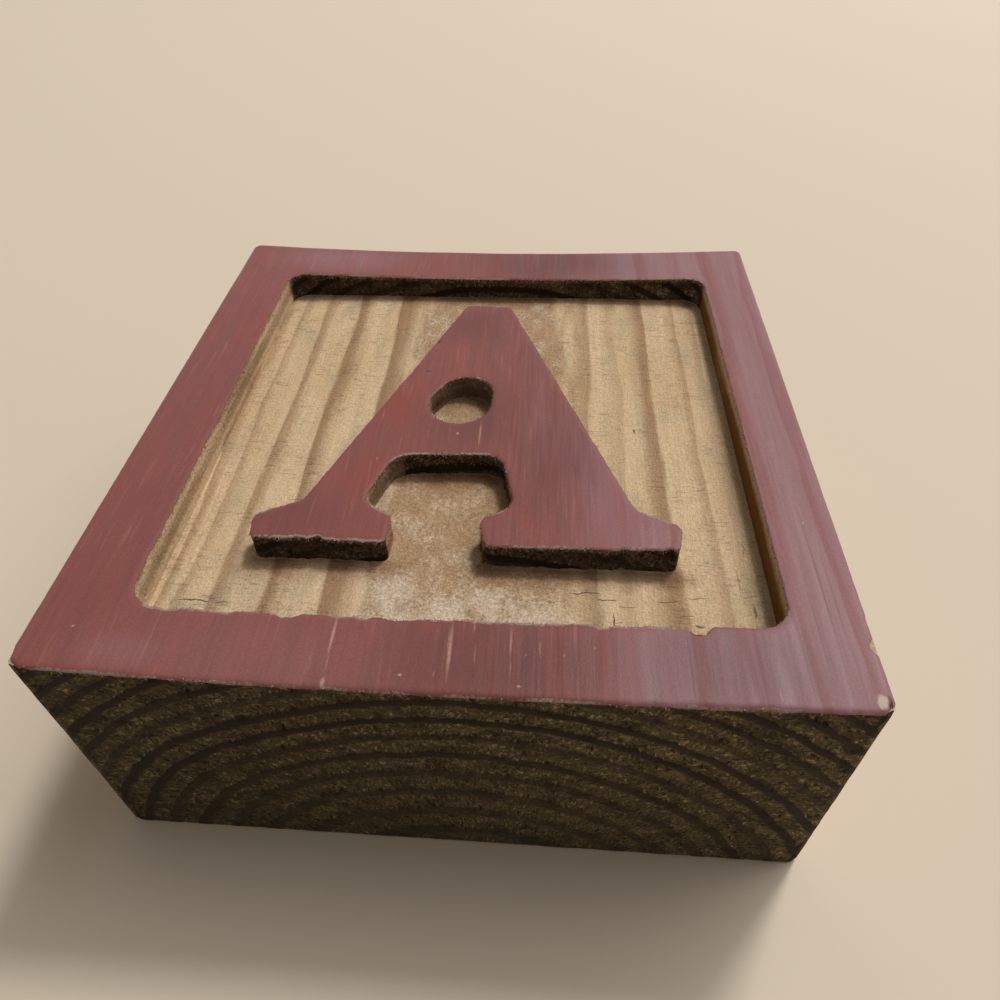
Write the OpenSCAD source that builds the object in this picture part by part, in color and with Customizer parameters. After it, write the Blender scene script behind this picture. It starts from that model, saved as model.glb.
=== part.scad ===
// Alphabet block: a short length of softwood board, painted on its top face,
// with a shallow routed pocket that leaves a capital A standing at its first height.
// Origin: centre of the underside. +X is to the letter's right, +Y is towards its apex.
// The grain runs along Y, so the faces across Y are end grain.

/* [Block] */
// Width of the board, across the grain
block_w = 89; // [75:1:110]
// Length that was cut from the board, along the grain
block_d = 93; // [80:1:115]
// Thickness of the board at its long edges
block_t = 38; // [20:1:60]
// How far the cupped top face lies below its long edges, halfway across
dish = 1.1; // [0.4:0.1:2]
// Radius of the four upright edges
edge_r = 1.6; // [0.5:0.1:6]

/* [Pocket] */
// Width of the border on the left
border_left = 9.3; // [6:0.1:13]
// Width of the border on the right
border_right = 7.9; // [6:0.1:13]
// Width of the border in front of the letter's feet
border_front = 9.9; // [6:0.1:13]
// Width of the border behind the letter's apex
border_back = 10; // [6:0.1:13]
// Depth of the flat floor below the long edges of the top face
pocket_depth = 4.6; // [3:0.1:12]
// Radius that the cutter leaves in the corners
cutter_r = 3.175; // [1:0.005:5]

/* [Letter] */
// Width of the letter over both feet
letter_w = 52; // [40:1:58]
// Height of the letter from the feet to the apex
letter_h = 53.8; // [42:0.1:60]
// Sideways shift of the letter from the middle of the pocket
letter_shift_x = 0.1; // [-2:0.1:2]
// Lengthwise shift of the letter from the middle of the pocket
letter_shift_y = 0.9; // [-2:0.1:2]
// Width of the eye between the strokes, across its round lower end
eye_w = 8.9; // [6:0.1:10]
// Width of the eye across its narrow upper end
eye_top_w = 7.8; // [4:0.1:9]
// Height of the eye
eye_h = 10.7; // [10:0.1:14]
// How far the upper end of the eye leans to the right of its lower end
eye_lean = 0.7; // [0:0.1:2]

/* [Paint] */
// Thickness of the paint film on the top face
paint_t = 0.2; // [0.1:0.05:0.6]

/* [Hidden] */

// Cuts run past the surfaces that they open by this length
overrun = 2;
circle_facets = 64;
cylinder_facets = 720;
round_steps = 8;
egg_steps = 16;

pocket_w = block_w - border_left - border_right;
pocket_d = block_d - border_front - border_back;
pocket_x = (border_left - border_right) / 2;
pocket_y = (border_front - border_back) / 2;
floor_z = block_t - pocket_depth;

// The cup of the board is an arc through both long edges, with its axis along the grain
dish_r = (pow(block_w / 2, 2) + pow(dish, 2)) / (2 * dish);
dish_axis_z = block_t - dish + dish_r;

letter_x = pocket_x + letter_shift_x;
letter_y = pocket_y + letter_shift_y;

// Place of the eye's middle in the letter, as shares of letter_w and letter_h
eye_x_share = -0.047;
eye_y_share = 0.022;
eye_x = letter_x + eye_x_share * letter_w;
eye_y = letter_y + eye_y_share * letter_h;

// Corners of the letter, clockwise from the left of the apex. Each row is the place
// as shares of letter_w and letter_h, then the round as a share of cutter_r.
letter_shares = [
    [-0.077, 0.5, 0.35],
    [0.06, 0.5, 0.35],
    [0.396, -0.377, 0.9],
    [0.5, -0.429, 0.5],
    [0.488, -0.5, 0.3],
    [0.048, -0.5, 0.4],
    [0.031, -0.418, 0.5],
    [0.112, -0.37, 0.7],
    [0.073, -0.195, 1],
    [-0.2, -0.206, 1],
    [-0.254, -0.368, 0.7],
    [-0.173, -0.413, 0.5],
    [-0.177, -0.496, 0.3],
    [-0.492, -0.496, 0.3],
    [-0.5, -0.426, 0.5],
    [-0.396, -0.375, 0.7]
];

// A number held between two limits
function clamp(low, value, high) = max(low, min(value, high));

// The direction from one point to another
function heading(from, to) = (to - from) / norm(to - from);

// The turn from one angle to another, the short way round
function short_turn(from, to) = ((to - from + 540) % 360) - 180;

// The arc that rounds one corner. Its radius gives way where an edge is too short for it.
function corner_arc(before, corner, after, radius) =
    let (
        back = heading(corner, before),
        ahead = heading(corner, after),
        half_angle = acos(clamp(-1, back * ahead, 1)) / 2,
        room = min(norm(before - corner), norm(after - corner)) / 2,
        r = min(radius, room * tan(half_angle)),
        centre = corner + (back + ahead) / norm(back + ahead) * r / sin(half_angle),
        first = corner + back * r / tan(half_angle) - centre,
        last = corner + ahead * r / tan(half_angle) - centre,
        start = atan2(first.y, first.x),
        turn = short_turn(start, atan2(last.y, last.x))
    )
    [for (i = [0:round_steps])
        centre + r * [cos(start + turn * i / round_steps), sin(start + turn * i / round_steps)]];

// A closed outline with each corner rounded by its own radius
function rounded_outline(corners, radii) =
    let (count = len(corners))
    [for (i = [0:count - 1])
        each corner_arc(
            corners[(i + count - 1) % count],
            corners[i],
            corners[(i + 1) % count],
            radii[i])];

// Points along an arc, with both its ends
function arc_points(centre, r, start, turn) =
    [for (i = [0:egg_steps])
        centre + r * [cos(start + turn * i / egg_steps), sin(start + turn * i / egg_steps)]];

// The outline of an egg: two circles and the straight lines that touch both
function egg_outline(low, low_r, high, high_r) =
    let (
        line = high - low,
        way = atan2(line.y, line.x),
        half_open = acos(clamp(-1, (low_r - high_r) / norm(line), 1))
    )
    concat(
        arc_points(low, low_r, way + half_open, 360 - 2 * half_open),
        arc_points(high, high_r, way - half_open, 2 * half_open));

// A rectangle about the origin with true quarter circles at its corners
module rounded_rectangle(w, d, r) {
    square([w - 2 * r, d], center = true);
    square([w, d - 2 * r], center = true);
    for (x = [-1, 1], y = [-1, 1])
        translate([x * (w / 2 - r), y * (d / 2 - r)]) circle(r = r, $fn = circle_facets);
}

// The block seen from above
module block_outline() {
    rounded_rectangle(block_w, block_d, edge_r);
}

// The pocket seen from above, without its letter
module pocket_outline() {
    translate([pocket_x, pocket_y]) rounded_rectangle(pocket_w, pocket_d, cutter_r);
}

// The egg-shaped eye between the letter's strokes
module eye_outline() {
    low = [eye_x - eye_lean / 2, eye_y - (eye_h - eye_w) / 2];
    high = [eye_x + eye_lean / 2, eye_y + (eye_h - eye_top_w) / 2];
    polygon(egg_outline(low, eye_w / 2, high, eye_top_w / 2));
}

// The letter seen from above, with its eye cut out
module letter_outline() {
    corners = [for (row = letter_shares) [row[0] * letter_w, row[1] * letter_h]];
    radii = [for (row = letter_shares) row[2] * cutter_r];
    difference() {
        translate([letter_x, letter_y]) polygon(rounded_outline(corners, radii));
        eye_outline();
    }
}

// Everything above the cupped top face, or above a surface that lies higher by lift
module space_above_dish(lift) {
    translate([0, 0, dish_axis_z])
        rotate([90, 0, 0])
            cylinder(r = dish_r - lift, h = block_d + 2 * overrun, center = true, $fn = cylinder_facets);
}

// A film of paint over the part of the top face that the children outline
module paint_film() {
    difference() {
        intersection() {
            translate([0, 0, floor_z])
                linear_extrude(height = pocket_depth + paint_t + overrun)
                    children();
            space_above_dish(0);
        }
        space_above_dish(paint_t);
    }
}

// The whole block of wood, cut from one board: base, border and standing letter
module wood_block() {
    color("burlywood") difference() {
        linear_extrude(height = block_t + overrun) block_outline();
        translate([0, 0, floor_z])
            linear_extrude(height = pocket_depth + 2 * overrun)
                difference() {
                    pocket_outline();
                    letter_outline();
                }
        space_above_dish(0);
    }
}

// The paint left on the border round the pocket
module border_paint() {
    color("indianred") paint_film() difference() {
        block_outline();
        pocket_outline();
    }
}

// The paint left on the top of the letter
module letter_paint() {
    color("brown") paint_film() letter_outline();
}

wood_block();
border_paint();
letter_paint();
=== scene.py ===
"""Looks of a routed alphabet block: a short softwood board with a painted top face.

The CAD nodes give every outline. Here they are cut into small faces, worn and torn as
the real wood is, and dressed. Lengths are in millimetres until a mesh is written, in the
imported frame's own axes: +X to the letter's right, +Y to its apex and along the grain.
"""

import itertools
import logging
import math
from collections.abc import Iterable, Mapping, Sequence
from dataclasses import dataclass
from enum import Enum
from functools import cached_property
from typing import Any

import bmesh
import bpy
import numpy as np
from mathutils import Matrix, Vector
from mathutils.bvhtree import BVHTree


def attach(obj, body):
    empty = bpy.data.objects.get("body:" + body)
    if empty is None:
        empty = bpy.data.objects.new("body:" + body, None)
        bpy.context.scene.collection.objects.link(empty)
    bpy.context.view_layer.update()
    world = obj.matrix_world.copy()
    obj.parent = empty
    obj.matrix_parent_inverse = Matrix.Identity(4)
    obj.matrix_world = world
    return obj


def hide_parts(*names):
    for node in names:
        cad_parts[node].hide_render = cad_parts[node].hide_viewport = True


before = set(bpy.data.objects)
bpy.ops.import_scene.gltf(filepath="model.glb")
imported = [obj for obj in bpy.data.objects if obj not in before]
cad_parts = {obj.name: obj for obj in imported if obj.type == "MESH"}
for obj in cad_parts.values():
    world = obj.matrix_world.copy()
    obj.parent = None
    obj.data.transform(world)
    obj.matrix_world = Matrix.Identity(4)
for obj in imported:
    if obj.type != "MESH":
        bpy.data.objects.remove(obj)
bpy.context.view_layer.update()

LOG = logging.getLogger("alphabet_block")
MM = 0.001
WELD_MM = 0.002
SNAP_MM = 0.02
BODY = "root"
FILMS = ("border_paint", "letter_paint")

# Widths of the strips along the board's outline that count as its rim and as its edge
OUTER_RIM = 0.4
OUTER_EDGE = 3.0

# How far a stripe in the wood strays from a straight line
STRIPE_STRAY = 0.7

# How a kind of node is set here, unless a call says otherwise
USUAL_SETTINGS = {"MapRange": {"interpolation_type": "SMOOTHSTEP"}, "Mix": {"data_type": "RGBA"}}

Socket = bpy.types.NodeSocket


class Zone(Enum):
    """The surfaces of a piece that are cut and shaped apart."""

    UNDERSIDE = 0
    SIDE = 1
    END = 2
    TOP = 3
    FLOOR = 4
    WALL = 5


class Slot(Enum):
    """The record's material slots."""

    WOOD = "wood"
    PAINT = "paint"


def linear(code: str) -> tuple[float, float, float, float]:
    """Turns an sRGB hex colour to linear light.

    Args:
        code: Six hex digits after a hash.

    Returns:
        Linear red, green, blue and a full alpha.
    """
    parts = [int(code[i : i + 2], 16) / 255 for i in (1, 3, 5)]
    bent = [p / 12.92 if p <= 0.04045 else ((p + 0.055) / 1.055) ** 2.4 for p in parts]
    return (*bent, 1.0)


def smooth(values: np.ndarray, low: float, high: float) -> np.ndarray:
    """Rises from 0 at low to 1 at high without a kink.

    Args:
        values: Any numbers.
        low: Where the rise starts.
        high: Where it ends, which may lie below low.

    Returns:
        Shares from 0 to 1.
    """
    share = np.clip((values - low) / (high - low), 0, 1)
    return share * share * (3 - 2 * share)


def noise(points: np.ndarray, cell: Sequence[float], seed: int) -> np.ndarray:
    """Smooth seeded noise in space.

    Args:
        points: Rows of x, y and z in millimetres.
        cell: Size of one patch along each axis, in millimetres.
        seed: Picks one of many patterns.

    Returns:
        A value from -1 to 1 for each point.
    """
    scaled = points / np.asarray(cell, float) + 61.7 * seed
    corner = np.floor(scaled)
    part = scaled - corner
    part = part**3 * (part * (part * 6 - 15) + 10)
    total = np.zeros(len(points))
    for step in itertools.product((0, 1), repeat=3):
        weight = np.prod(np.where(step, part, 1 - part), axis=1)
        hashed = np.sin((corner + step) @ (12.9898, 78.233, 37.719) + seed) * 43758.5453
        total += weight * ((hashed % 1) * 2 - 1)
    return total


def rough(points: np.ndarray, cell: Sequence[float], seed: int, octaves: int = 3) -> np.ndarray:
    """Noise with finer noise on it.

    Args:
        points: Rows of x, y and z in millimetres.
        cell: Size of the broadest patches along each axis.
        seed: Picks the pattern.
        octaves: How many sizes of patch are added up.

    Returns:
        A value of about -1 to 1 for each point.
    """
    layers = [
        noise(points, np.asarray(cell, float) / 2**i, seed + 7 * i) / 2**i
        for i in range(octaves)
    ]
    return sum(layers) / 1.4


@dataclass(frozen=True)
class Board:
    """Sizes of the cut board and its pocket, as the CAD source has them."""

    half_width: float = 44.5
    half_length: float = 46.5
    thickness: float = 38.0
    corner: float = 1.6
    cup: float = 1.1
    floor_z: float = 33.4
    front_rim: float = -36.6
    left_rim: float = -35.2
    foot_rim: float = -26.0
    skew: float = 0.0153

    def top(self, x: np.ndarray) -> np.ndarray:
        """Height of the cupped top face at each x."""
        return self.thickness - self.cup * (1 - (x / self.half_width) ** 2)

    def sawn_back(self, points: np.ndarray) -> np.ndarray:
        """How far the front end, sawn out of square, lies behind its true place."""
        beyond = self.front_rim - 0.8 - points[:, 1]
        fade = np.clip(beyond / (self.half_length + self.front_rim), 0, 1)
        return self.skew * (self.half_width - points[:, 0]) * fade

    def inset(self, points: np.ndarray) -> np.ndarray:
        """Distance of each point from the board's outline, positive inside."""
        inner = np.array([self.half_width - self.corner, self.half_length - self.corner])
        beyond = np.abs(points[:, :2]) - inner
        outside = np.linalg.norm(np.maximum(beyond, 0), axis=1)
        return self.corner - outside - np.minimum(beyond.max(axis=1), 0)


@dataclass(frozen=True)
class Plot:
    """A rectangle in plan: its middle and half its size."""

    x: float
    y: float
    half_x: float
    half_y: float

    def holds(self, place: np.ndarray) -> bool:
        """Says whether a place lies in it."""
        return abs(place[0] - self.x) < self.half_x and abs(place[1] - self.y) < self.half_y


# The whole letter, its eye, and the arch between its feet, where the wood tore most
LETTER = Plot(0.8, 0.75, 27.0, 27.75)
EYE = Plot(-1.6, 2.0, 6.0, 7.0)
ARCH = Plot(-2.0, -15.5, 9.5, 9.5)

# Round spots in which the walls across the grain were cut clean and stayed paler
PALE_SPOTS = (((EYE.x, EYE.y), 6.5), ((-11.5, -15.0), 5.5))
PALE_SHARE = 0.62


@dataclass(frozen=True)
class GrowthRings:
    """Yearly rings of the tree, round a heart that lay just below the board."""

    heart_x: float = 1.3
    heart_z: float = -14.0
    first_radius: float = 38.3
    rings_per_mm: float = 0.24837
    narrowing: float = 0.002505
    late_start: float = 0.5
    late_full: float = 0.72

    def phase(self, points: np.ndarray) -> np.ndarray:
        """Count of rings out to each point, with the wood's slow wander."""
        beyond = np.hypot(*self.spokes(points)) - self.first_radius
        return beyond * (self.rings_per_mm + self.narrowing * beyond) + self.wander(points)

    def spokes(self, points: np.ndarray) -> tuple[np.ndarray, np.ndarray]:
        """How far each point lies to the right of the heart, and above it."""
        return points[:, 0] - self.heart_x, points[:, 2] - self.heart_z

    def wander(self, points: np.ndarray) -> np.ndarray:
        """How far rings stray from true circles, as a share of one ring."""
        slow = noise(points, (16, 60, 16), seed=3)
        quick = noise(points, (3.1, 14, 3.1), seed=5)
        return 0.16 * slow + 0.06 * quick

    def unrolled(self, points: np.ndarray) -> np.ndarray:
        """Places along the rings, along the grain and outward, so that noise follows the rings."""
        arc = np.arctan2(*self.spokes(points)) * self.first_radius * 1.3
        return np.stack([arc, points[:, 1], np.hypot(*self.spokes(points))], axis=1)

    def late(self, phase: np.ndarray) -> np.ndarray:
        """Share of dense late wood, which builds up slowly and ends at once."""
        part = (phase + 0.85) % 1
        return smooth(part, self.late_start, self.late_full) * smooth(part, 1.0, 0.96)


@dataclass(frozen=True)
class Nick:
    """A bite out of a rim: its place, how far it reaches along and how deep it goes."""

    x: float
    y: float
    reach: float
    depth: float


FRONT = Board.front_rim
LEFT = Board.left_rim
FEET = Board.foot_rim

RIM_NICKS = (
    Nick(-30.3, FRONT, 1.6, 0.3),
    Nick(-24.3, FRONT, 1.7, 0.25),
    Nick(-17.6, FRONT, 2.2, 0.5),
    Nick(-8.7, FRONT, 1.2, 0.2),
    Nick(-4.9, FRONT, 3.0, 0.4),
    Nick(16.8, FRONT, 1.5, 0.45),
    Nick(19.6, FRONT, 1.6, 0.25),
    Nick(26.8, FRONT, 1.7, 1.15),
    Nick(24.0, FRONT, 1.0, 0.12),
    Nick(LEFT, -29.4, 1.4, 0.15),
    Nick(-16.6, FEET, 1.1, 0.4),
    Nick(-18.8, FEET, 1.0, 0.35),
    Nick(24.8, FEET, 0.8, 0.35),
    Nick(19.6, FEET, 0.9, 0.2),
    Nick(44.5, -38.7, 1.4, 0.9),
    Nick(44.5, -35.6, 1.0, 0.2),
    Nick(44.5, -30.0, 1.2, 0.15),
    Nick(44.0, -46.1, 1.5, 0.7),
    Nick(-44.2, -45.9, 2.6, 0.6),
    Nick(-11.0, -46.5, 1.2, 0.2),
    Nick(21.6, -46.5, 1.0, 0.2),
    Nick(32.0, -46.5, 1.6, 0.25),
)


class Rims:
    """The upright edges of the paint, which every surface near them follows."""

    def __init__(self, board: Board, nodes: Iterable[str]) -> None:
        """Gathers the upright faces of the films.

        Args:
            board: The cut board.
            nodes: Names of the CAD nodes that are films.
        """
        self.board = board
        places: list[Vector] = []
        faces: list[list[int]] = []
        for name in nodes:
            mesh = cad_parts[name].data
            for polygon in mesh.polygons:
                if abs(polygon.normal.z) < 0.5:
                    faces.append([len(places) + i for i in range(len(polygon.vertices))])
                    places += [mesh.vertices[v].co / MM for v in polygon.vertices]
        self.tree = BVHTree.FromPolygons(places, faces)

    def nearest(self, points: np.ndarray) -> tuple[np.ndarray, np.ndarray, np.ndarray]:
        """Finds the nearest rim.

        Args:
            points: Rows of x, y and z in millimetres. Only x and y count.

        Returns:
            Distance in plan, the rim's outward direction in plan, and the place on it.
        """
        heights = self.board.top(points[:, 0]) + 0.1
        found = [
            self.tree.find_nearest((x, y, z))
            for (x, y), z in zip(points[:, :2], heights, strict=True)
        ]
        foot = np.array([hit[0][:] for hit in found])
        outward = np.array([hit[1][:2] for hit in found])
        outward /= np.linalg.norm(outward, axis=1)[:, None]
        return np.linalg.norm(points[:, :2] - foot[:, :2], axis=1), outward, foot

    def bite(self, foot: np.ndarray, outward: np.ndarray) -> np.ndarray:
        """How far the rim stands out from its true line, mostly less than nothing.

        Args:
            foot: Places on the rims.
            outward: Their outward directions in plan.

        Returns:
            Distances in millimetres, positive away from the film.
        """
        across = outward[:, 1] ** 2
        plan = foot * (1, 1, 0)
        coarse = noise(plan, (3.4, 7.0, 1), seed=11)
        fine = noise(plan, (0.8, 1.4, 1), seed=12)
        fray = noise(plan, (0.32, 0.5, 1), seed=13)
        bite = -0.05 - 0.03 * coarse - across * (0.04 * coarse + 0.05 * fine + 0.07 * fray)
        bite -= (1 - across) * (0.05 * fine + 0.05 * fray)
        front = smooth(foot[:, 1], FRONT + 0.8, FRONT + 0.1)
        front *= smooth(foot[:, 1], FRONT - 0.8, FRONT - 0.3)
        bite -= front * (0.06 + 0.07 * noise(plan, (2.4, 9, 1), seed=14))
        for nick in RIM_NICKS:
            away = np.hypot(foot[:, 0] - nick.x, foot[:, 1] - nick.y)
            shape = smooth(away, nick.reach, 0.15 * nick.reach)
            bite -= nick.depth * shape * (1 + 0.35 * fine)
        outer = self.board.inset(foot) < OUTER_RIM
        return np.where(outer, np.minimum(0.6 * bite, -0.02), np.minimum(bite, 0.05))

    def arris(self, points: np.ndarray, outward: np.ndarray) -> np.ndarray:
        """How far the board's worn outer edges lie below its true top face.

        Args:
            points: Rows of x, y and z.
            outward: Outward directions of the nearest rims.

        Returns:
            Drops in millimetres.
        """
        radius = 0.12 + 0.38 * (1 - outward[:, 1] ** 2)
        radius = radius + 0.05 * noise(points * (1, 1, 0), (9, 9, 1), seed=21)
        depth = np.clip(self.board.inset(points), 0, radius)
        return radius - np.sqrt(np.maximum(radius**2 - (radius - depth) ** 2, 0))


def merged_copy(node: str) -> bmesh.types.BMesh:
    """Copies a CAD node's mesh as whole flat faces.

    Args:
        node: Name of the CAD node.

    Returns:
        A closed mesh in metres, with its doubles merged.
    """
    bm = bmesh.new()
    bm.from_mesh(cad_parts[node].data)
    bmesh.ops.remove_doubles(bm, verts=bm.verts, dist=WELD_MM * MM)
    bmesh.ops.dissolve_limit(bm, angle_limit=math.radians(0.2), verts=bm.verts, edges=bm.edges)
    return bm


def faces_y(face: bmesh.types.BMFace) -> bool:
    """Says whether a face looks along Y more than along X."""
    return abs(face.normal.y) > abs(face.normal.x)


def steps(low: float, high: float, size: float) -> list[float]:
    """Places of evenly spaced cuts between two ends."""
    count = max(round((high - low) / size), 1)
    return [low + (high - low) * i / count for i in range(1, count)]


def sliced(
    bm: bmesh.types.BMesh,
    faces: list[bmesh.types.BMFace],
    axis: int,
    places: list[float],
) -> list[bmesh.types.BMFace]:
    """Cuts faces at many places along one axis, by halves, so that each cut meets few of them.

    Args:
        bm: The mesh.
        faces: The faces to cut.
        axis: 0, 1 or 2 for cuts across X, Y or Z.
        places: Rising places of the cuts, in millimetres.

    Returns:
        The faces that they became.
    """
    if not places or not faces:
        return faces
    middle = len(places) // 2
    across = Vector((axis == 0, axis == 1, axis == 2))
    geometry = set(faces)
    for face in faces:
        geometry.update(face.edges, face.verts)
    cut = bmesh.ops.bisect_plane(
        bm,
        geom=list(geometry),
        dist=SNAP_MM * MM,
        plane_co=across * places[middle] * MM,
        plane_no=across,
    )
    pieces = [part for part in cut["geom"] if isinstance(part, bmesh.types.BMFace)]
    below = [f for f in pieces if f.calc_center_median()[axis] < places[middle] * MM]
    above = [f for f in pieces if f.calc_center_median()[axis] >= places[middle] * MM]
    return sliced(bm, below, axis, places[:middle]) + sliced(bm, above, axis, places[middle + 1 :])


def read(items: Any, name: str, kind: type = float, width: int = 1) -> np.ndarray:
    """Reads one property of every item in a mesh's list.

    Args:
        items: The list, such as the mesh's vertices.
        name: The property.
        kind: Kind of its numbers.
        width: How many numbers each item has.

    Returns:
        One number, or one row of numbers, for each item.
    """
    values = np.empty(len(items) * width, kind)
    items.foreach_get(name, values)
    return values if width == 1 else values.reshape(-1, width)


class Surface:
    """A finished mesh seen as arrays: the places, zones and zone normals of its corners."""

    def __init__(self, mesh: bpy.types.Mesh) -> None:
        """Reads the mesh.

        Args:
            mesh: A mesh with a zone number on each face.
        """
        self.mesh = mesh
        self.base = read(mesh.vertices, "co", width=3) / MM
        self.places = self.base.copy()
        self.face_zones = read(mesh.attributes["zone"].data, "value", int)
        self.face_normals = read(mesh.polygons, "normal", width=3)
        totals = read(mesh.polygons, "loop_total", int)
        self.loop_faces = np.repeat(np.arange(len(totals)), totals)
        self.loop_corners = read(mesh.loops, "vertex_index", int)

    def corners(self, zone: Zone) -> np.ndarray:
        """Numbers of the vertices on a zone's faces."""
        return np.unique(self.loop_corners[self.face_zones[self.loop_faces] == zone.value])

    def outward(self, zone: Zone) -> np.ndarray:
        """Mean outward direction of a zone's faces at every vertex, none off the zone."""
        chosen = self.face_zones[self.loop_faces] == zone.value
        total = np.zeros_like(self.base)
        np.add.at(total, self.loop_corners[chosen], self.face_normals[self.loop_faces[chosen]])
        return total / np.maximum(np.linalg.norm(total, axis=1), 1e-9)[:, None]

    def face_centres(self) -> np.ndarray:
        """Middles of the faces, in true places."""
        total = np.zeros((len(self.face_zones), 3))
        np.add.at(total, self.loop_faces, self.base[self.loop_corners])
        return total / np.bincount(self.loop_faces)[:, None]

    def keep(self, name: str, domain: str, values: np.ndarray) -> None:
        """Stores a number on each point or face for the material.

        Args:
            name: The attribute's name.
            domain: POINT or FACE.
            values: One number each.
        """
        attribute = self.mesh.attributes.new(name, "FLOAT", domain)
        attribute.data.foreach_set("value", values.astype(np.float32))

    def push(self, zone: Zone, amounts: np.ndarray) -> None:
        """Moves a zone's corners along their outward directions.

        Args:
            zone: The zone.
            amounts: Distance for every vertex, in millimetres.
        """
        chosen = self.corners(zone)
        self.places[chosen] += (self.outward(zone) * amounts[:, None])[chosen]

    def write(self) -> None:
        """Puts the moved places back into the mesh, in metres."""
        self.mesh.vertices.foreach_set("co", (self.places * MM).ravel())
        self.mesh.attributes.remove(self.mesh.attributes["zone"])
        self.mesh.update()


@dataclass(frozen=True)
class Mark:
    """A scratch, speck or dent on a flat surface, as a flattened round."""

    x: float
    y: float
    half_x: float
    half_y: float
    strength: float = 1.0


@dataclass(frozen=True)
class Stripe:
    """A stripe along the grain, crisp on one side. A width below 0 makes it fade towards -X."""

    edge: float
    width: float
    strength: float = 1.0


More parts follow.
